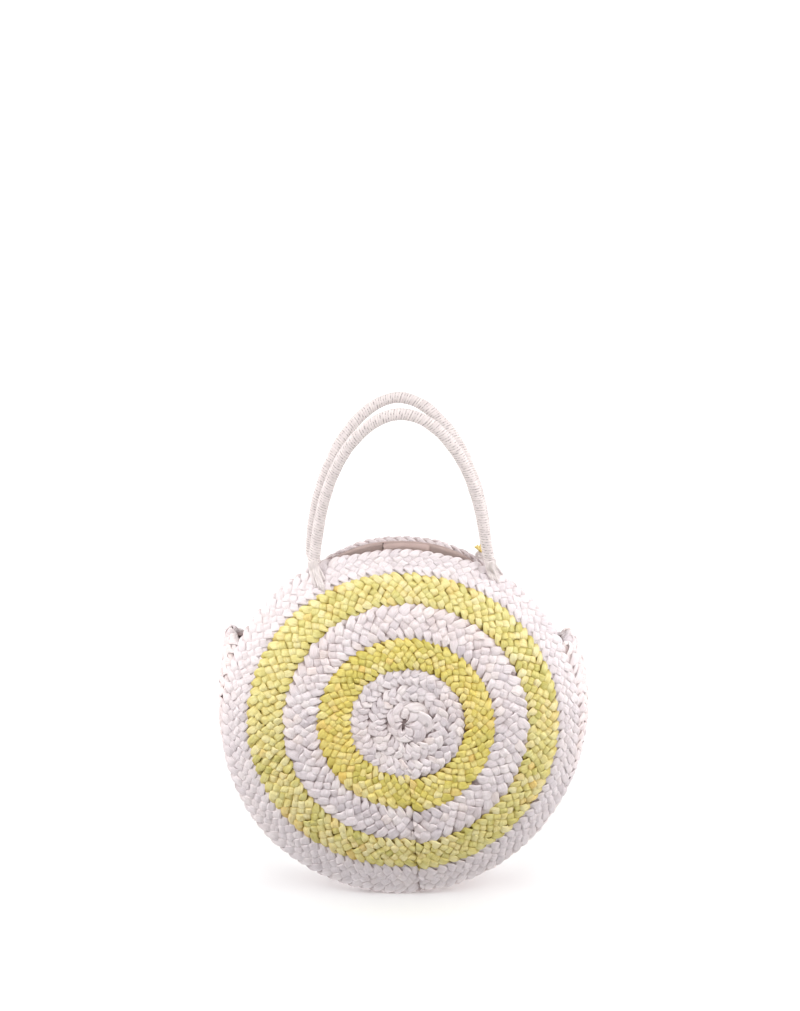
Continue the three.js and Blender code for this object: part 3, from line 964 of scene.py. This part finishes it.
def foot_knot():
    """The coiled tail of the rope, seen from the front."""
    turn = np.linspace(0, FULL_TURN * KNOT["turns"], KNOT_ROWS)
    radius = np.linspace(KNOT["inner"], KNOT["outer"], KNOT_ROWS)
    x, y, z = KNOT["place"]
    depth = y - KNOT["bulge"] * (1 - radius / KNOT["outer"])
    path = np.stack([x + radius * np.cos(turn), depth, z + radius * np.sin(turn)], axis=-1)
    shape = (KNOT_ROWS, FOOT_SIDES)
    along = np.broadcast_to((turn * radius)[:, None], shape)
    return {
        "points": tube_rows(path, np.full(shape, KNOT["thickness"])),
        "sink": np.full(shape, FOOT_SHADE),
        "fibre": np.stack([along, np.broadcast_to(np.arange(FOOT_SIDES), shape), along], axis=-1),
    }


def build_handle(face, seed):
    """A handle and its two feet as one piece."""
    rng = np.random.default_rng(seed)
    arch = ARCHES[face]
    parts = [wound_rope(face, rng)]
    for end, splay, run, length in zip((-1, 1), arch["splay"], arch["runs"], arch["reach"]):
        foot_x = arch["middle"] + end * (arch["half_width"] + splay)
        for fan in np.linspace(-1, 1, FOOT["strands"]):
            parts.append(foot_strand(face, rng, foot_x, run, length, fan))
    if face == "back":
        parts.append(foot_knot())
    piece = mesh_piece(f"{face}_wound_handle", parts, ROPE)
    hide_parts(f"{face}_handle")


# A wisp of three yellow straws caught at the foot of the back handle, in millimetres
WISP = [
    [(82.0, 27.5, 346.5), (80.0, 25.5, 349.5), (79.0, 25.5, 352.5), (79.0, 26.5, 356.5)],
    [(81.0, 27.5, 347.0), (78.0, 25.0, 350.0), (75.0, 25.5, 352.0), (72.5, 27.0, 352.5)],
    [(81.0, 27.0, 346.5), (78.5, 24.5, 349.0), (76.5, 24.5, 351.5), (75.0, 25.5, 355.0)],
]
WISP_TINTS = (1.0, 1.0, 0.97)
WISP_RADIUS = 1.7
WISP_TIP = 0.04
WISP_ROWS = 12
WISP_SIDES = 6


def build_wisp():
    """Short bent straws that taper at both ends."""
    parts = []
    for straw, tint in zip(WISP, WISP_TINTS):
        path, run = even_path(np.array(straw), WISP_ROWS)
        share = run / run[-1]
        radii = WISP_RADIUS * np.sqrt(np.sin(math.pi * (WISP_TIP + (1 - 2 * WISP_TIP) * share)))
        shape = (WISP_ROWS, WISP_SIDES)
        along = np.broadcast_to(run[:, None], shape)
        parts.append({
            "points": tube_rows(path, np.broadcast_to(radii[:, None], shape)),
            "tint": np.full(shape, tint),
            "sink": np.ones(shape),
            "fibre": np.stack([along, along, along], axis=-1),
        })
    mesh_piece("yellow_wisp", parts, INNER_YELLOW)


# Lining: two round cloth panels and a strip between them, sewn into a pouch
CLOTH = 1.2
LINING_CLEARANCE = 1.0
LINING_HEM = 1.5
LINING_INSET = 12.0
LINING_MOUTH = (math.radians(36.0), math.radians(56.0))
LINING_MIDDLE = 0.02
LINING_ROWS = 40
LINING_COLUMNS = 240
STRIP_ROWS = 14
HEM_ROWS = 3
HEM_THICKNESS = 0.5
WRINKLE = 1.6
WRINKLE_ACROSS = {"length": 17.0, "bend": 1.3, "bend_length": 41.0}
WRINKLE_UPWARD = {"length": 23.0, "bend": 1.7, "bend_length": 37.0}
WRINKLE_FADE = 6
CLOTH_SHADE = 0.85
PATCH = {"left": -22.0, "right": 26.0, "below_hem": 2.0, "drop": 70.0, "thickness": 0.8}
PATCH_ROWS = 12
PATCH_COLUMNS = 16
PATCH_SHADE = 1.0
# The seam cord's dark shade is painted shadow along the patch's edge
SEAM_CORD = 0.8
SEAM_CORD_SIDES = 6
SEAM_SHADE = 0.3
STRIP_BELOW_EAR = math.radians(6.0)
STRIP_CLEARANCE = 2.5
STRIP_BULGE_POWER = 4


def bent_wave(wave, run, aside):
    """A wave along one direction that is bent by the other."""
    return np.sin(run / wave["length"] + wave["bend"] * np.sin(aside / wave["bend_length"]))


def wrinkles(x, z):
    """Soft folds of the cloth, always away from the plait."""
    wave = bent_wave(WRINKLE_ACROSS, x, z) + bent_wave(WRINKLE_UPWARD, z, x)
    return WRINKLE * (wave + 2) / 4


def lining_edge(side, angle):
    """Radius of the cloth panel's edge: lower along the mouth, where it is hemmed."""
    mouth_end = smooth_rise(turn_from_top(angle), *LINING_MOUTH)
    inset = LINING_HEM + (LINING_INSET - LINING_HEM) * mouth_end
    return gusset_inner(side, angle) - LINING_CLEARANCE - inset


def cloth_depth(side, radius, angle, share):
    """Depth of the cloth behind a panel's plaits, with its wrinkles, which fade towards the edge."""
    depth = panel_depth(side, radius, angle) - half_plait(side, radius, angle) - LINING_CLEARANCE
    x, z = radius * np.cos(angle), radius * np.sin(angle)
    return depth - wrinkles(x, z) * (1 - share**WRINKLE_FADE)


def lining_panel(side):
    """One round panel of the lining as a closed thin shell."""
    angle = np.linspace(0, FULL_TURN, LINING_COLUMNS, endpoint=False)
    share = np.linspace(LINING_MIDDLE, 1, LINING_ROWS)[:, None]
    radius = share * lining_edge(side, angle)
    flat_angle = np.broadcast_to(angle, radius.shape)
    x, z = radius * np.cos(flat_angle), radius * np.sin(flat_angle)
    depth = cloth_depth(side, radius, flat_angle, share)
    hem = HEM_THICKNESS * (np.arange(LINING_ROWS) >= LINING_ROWS - HEM_ROWS)[:, None]
    outer = np.stack([x, side * depth, CENTRE_HEIGHT + z], axis=-1)
    inner = np.stack([x, side * (depth - CLOTH - hem), CENTRE_HEIGHT + z], axis=-1)
    return cloth_part(np.concatenate([outer, inner[::-1]]), CLOTH_SHADE)


def cloth_part(points, shade):
    """A cloth shell with one shade all over."""
    return {"points": points, "shade": np.full(points.shape[:2], shade)}


def inside_depth(side, x, z):
    """Depth of the lining's inside face at a point seen from the front."""
    angle = np.arctan2(z, x)
    radius = np.hypot(x, z)
    share = radius / lining_edge(side, angle)
    return cloth_depth(side, radius, angle, share) - CLOTH - HEM_THICKNESS


def lining_patch(side):
    """A plain panel of the same cloth sewn inside the lining below its hem."""
    x = np.linspace(PATCH["left"], PATCH["right"], PATCH_COLUMNS)
    top = lining_edge(side, math.pi / 2) - PATCH["below_hem"]
    drop = np.linspace(0, PATCH["drop"], PATCH_ROWS)[:, None]
    z = np.sqrt(top**2 - x**2) - drop
    flat_x = np.broadcast_to(x, z.shape)
    depth = inside_depth(side, flat_x, z)
    skins = []
    for inset in (0, PATCH["thickness"]):
        skins.append(np.stack([flat_x, side * (depth - inset), CENTRE_HEIGHT + z], axis=-1))
    return cloth_part(np.concatenate([skins[0], skins[1][:, ::-1]], axis=1), PATCH_SHADE)


def lining_seam(side):
    """The seam along one edge of that panel: a cord darkened with the seam's painted shadow."""
    top = lining_edge(side, math.pi / 2)
    z = math.sqrt(top**2 - PATCH["left"] ** 2) - np.linspace(0, PATCH["drop"], PATCH_ROWS)
    x = np.full_like(z, PATCH["left"])
    path = np.stack([x, side * inside_depth(side, x, z), CENTRE_HEIGHT + z], axis=-1)
    return cloth_part(tube_rows(path, np.full((PATCH_ROWS, SEAM_CORD_SIDES), SEAM_CORD)), SEAM_SHADE)


def lining_strip():
    """The strip of cloth along the gusset as a closed thin shell."""
    first, last = MOUTH_LEFT + STRIP_BELOW_EAR, FULL_TURN + MOUTH_RIGHT - STRIP_BELOW_EAR
    angle = np.linspace(first, last, LINING_COLUMNS)
    share = np.linspace(-1, 1, STRIP_ROWS)
    half = (share[None] + 1) / 2
    front, back = SIDES["front"], SIDES["back"]
    front_edge, back_edge = (lining_edge(side, angle)[:, None] for side in (front, back))
    front_depth, back_depth = (gusset_depth(side, angle)[:, None] for side in (front, back))
    radius = (1 - half) * front_edge + half * back_edge
    radius = radius + LINING_INSET * (1 - share**STRIP_BULGE_POWER) - STRIP_CLEARANCE
    depth = np.where(share < 0, front_depth, back_depth)
    y = share * (depth - LINING_CLEARANCE)
    skins = []
    for inset in (0, CLOTH):
        out = radius - inset
        x, z = out * np.cos(angle)[:, None], CENTRE_HEIGHT + out * np.sin(angle)[:, None]
        skins.append(np.stack([x, y, z], axis=-1))
    return cloth_part(np.concatenate([skins[0], skins[1][:, ::-1]], axis=1), CLOTH_SHADE)


def build_lining():
    """The lining's cloths as one sewn piece. Its flat area is half that of its two faces."""
    front, back = SIDES["front"], SIDES["back"]
    parts = [lining_panel(front), lining_panel(back), lining_strip()]
    parts += [lining_patch(back), lining_seam(back)]
    piece = mesh_piece("lining_pouch", parts, LINING_CLOTH)
    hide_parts("lining")


# The photograph's view: its height in pixels, and where the camera stands and looks
PHOTO_HEIGHT_PX = 1011
FOCAL_PX = 2009
CAMERA_PLACE = (0.0, -2.0, 0.801)
CAMERA_PITCH = math.radians(11.3)
CAMERA_YAW = math.radians(0.128)


def build_camera():
    """The camera, set so that the bag falls where the photograph has it."""
    data = bpy.data.cameras.new("camera")
    data.sensor_fit = "VERTICAL"
    data.lens = data.sensor_height * FOCAL_PX / PHOTO_HEIGHT_PX
    camera = bpy.data.objects.new("camera", data)
    camera.location = CAMERA_PLACE
    camera.rotation_euler = (math.pi / 2 - CAMERA_PITCH, 0, CAMERA_YAW)
    bpy.context.collection.objects.link(camera)
    bpy.context.scene.camera = camera


# Studio: a pale floor, a bright sky, and soft boxes at both sides and above the front
FLOOR_SIZE = 60.0
FLOOR_MOTTLE = {"scale": 3.0, "detail": 2.0}
FLOOR_LEVELS = [(0.3, 0.97), (0.7, 0.99)]
FLOOR_REACH = 10.0
# Painted shade: the floor's colour is darker near the bag, which deepens its contact shadow
FLOOR_SHADE_NEAR_BAG = [(0.04, 0.74), (0.22, 1.0)]
# Painted light: further off the floor glows faintly, so that it stays white
FLOOR_GLOW = [(0.025, 0.0), (0.06, 0.13), (0.2, 0.18)]
FLOOR_GRAIN_SCALE = 400.0
FLOOR_BUMP = {"strength": 0.1, "distance": 0.0005}
FLOOR_ROUGHNESS = 0.9
FLOOR_SPECULAR = 0.1
SKY_STRENGTH = 9.0
SKY_UPWARD = [
    (-1.0, 2.5), (-0.6, 0.8), (-0.3, 0.05), (-0.05, 0.05), (-0.03, 1.3),
    (0.06, 1.3), (0.1, 0.88), (0.25, 0.8), (0.5, 0.71), (1.0, 0.76),
]
SKY_BACKWARD = [(-1.0, 0.28), (-0.5, 0.5), (-0.1, 1.55), (0.3, 2.1), (1.0, 2.1)]
SKY_HORIZON = [(-0.06, 0.0), (-0.04, 1.0), (0.1, 1.0), (0.14, 0.0)]
LIGHTS = [
    {"name": "left_softbox", "place": (-0.8, -0.42, 0.6), "size": 0.5, "power": 5.7},
    {"name": "right_softbox", "place": (0.8, -0.42, 0.6), "size": 0.5, "power": 5.7},
    {"name": "top_softbox", "place": (0.0, -0.9, 0.96), "size": 0.5, "power": 3.9},
]
LIGHT_TARGET = (0.0, 0.0, 0.25)


def build_floor():
    """A pale floor that gives no light back to the bag, darker near the bag with painted shade and with
    a faint painted glow further off.
    """
    bpy.ops.mesh.primitive_plane_add(size=FLOOR_SIZE)
    floor = bpy.context.object
    floor.name = "studio_floor"
    nodes = Nodes(bpy.data.materials.new("studio_floor"))
    mottle = nodes.ramp(nodes.noise(nodes.place(), **FLOOR_MOTTLE), grey_stops(FLOOR_LEVELS))
    spread = nodes.stretch(nodes.place(), grey(1 / FLOOR_REACH))
    away = nodes.add("ShaderNodeVectorMath", {0: spread}, operation="LENGTH").outputs["Value"]
    # Painted shade near the bag, then a painted glow further off
    colour = nodes.darken(mottle, nodes.ramp(away, grey_stops(FLOOR_SHADE_NEAR_BAG)))
    glow = nodes.ramp(away, grey_stops(FLOOR_GLOW))
    shader = nodes.tree.nodes["Principled BSDF"]
    nodes.feed(shader, {"Emission Color": glow, "Emission Strength": 1.0})
    grain = nodes.bump(nodes.noise(nodes.place(), FLOOR_GRAIN_SCALE), **FLOOR_BUMP)
    floor.data.materials.append(nodes.finish(colour, FLOOR_ROUGHNESS, FLOOR_SPECULAR, grain))
    floor.visible_diffuse = False


def sky_ramp(sky, component, stops, full):
    """A grey level that follows one component of a direction, as a share of full light."""
    spread = sky.add("ShaderNodeMapRange", {"Value": component, "From Min": -1.0})
    shares = [((place + 1) / 2, light / full) for place, light in stops]
    return sky.ramp(spread.outputs["Result"], grey_stops(shares))


def build_sky():
    """Soft studio light from all round, strongest from behind, with a white horizon."""
    world = bpy.data.worlds.new("studio")
    sky = Nodes(world)
    generated = sky.add("ShaderNodeTexCoord").outputs["Generated"]
    direction = sky.add("ShaderNodeSeparateXYZ", {"Vector": generated}).outputs
    half = math.sqrt(SKY_STRENGTH)
    upward = sky_ramp(sky, direction["Z"], SKY_UPWARD, half)
    backward = sky_ramp(sky, direction["Y"], SKY_BACKWARD, half)
    horizon = sky_ramp(sky, direction["Z"], SKY_HORIZON, SKY_STRENGTH)
    product = sky.add("ShaderNodeVectorMath", {0: upward, 1: backward}, operation="MULTIPLY")
    inputs = {0: product.outputs["Vector"], 1: horizon}
    brighter = sky.add("ShaderNodeVectorMath", inputs, operation="MAXIMUM")
    light = {"Color": brighter.outputs["Vector"], "Strength": SKY_STRENGTH}
    sky.feed(sky.tree.nodes["Background"], light)
    bpy.context.scene.world = world


def build_lights():
    """Soft boxes that face the bag."""
    for light in LIGHTS:
        data = bpy.data.lights.new(light["name"], "AREA")
        data.size = light["size"]
        data.energy = light["power"]
        lamp = bpy.data.objects.new(light["name"], data)
        lamp.location = light["place"]
        lamp.visible_camera = False
        aim = np.array(LIGHT_TARGET) - np.array(light["place"])
        lean = math.atan2(math.hypot(aim[0], aim[1]), -aim[2])
        lamp.rotation_euler = (lean, 0, math.atan2(-aim[0], aim[1]))
        bpy.context.collection.objects.link(lamp)
    bpy.context.scene.view_settings.view_transform = "Standard"
    bpy.context.scene.view_settings.look = "None"


# Seeds of the random draws
PANEL_SEEDS = {"front": 100, "back": 200}
HANDLE_SEEDS = {"front": 300, "back": 400}

build_camera()
build_floor()
build_sky()
build_lights()
for face, seed in PANEL_SEEDS.items():
    build_panel(face, seed)
for face, seed in HANDLE_SEEDS.items():
    build_handle(face, seed)
build_wisp()
build_lining()
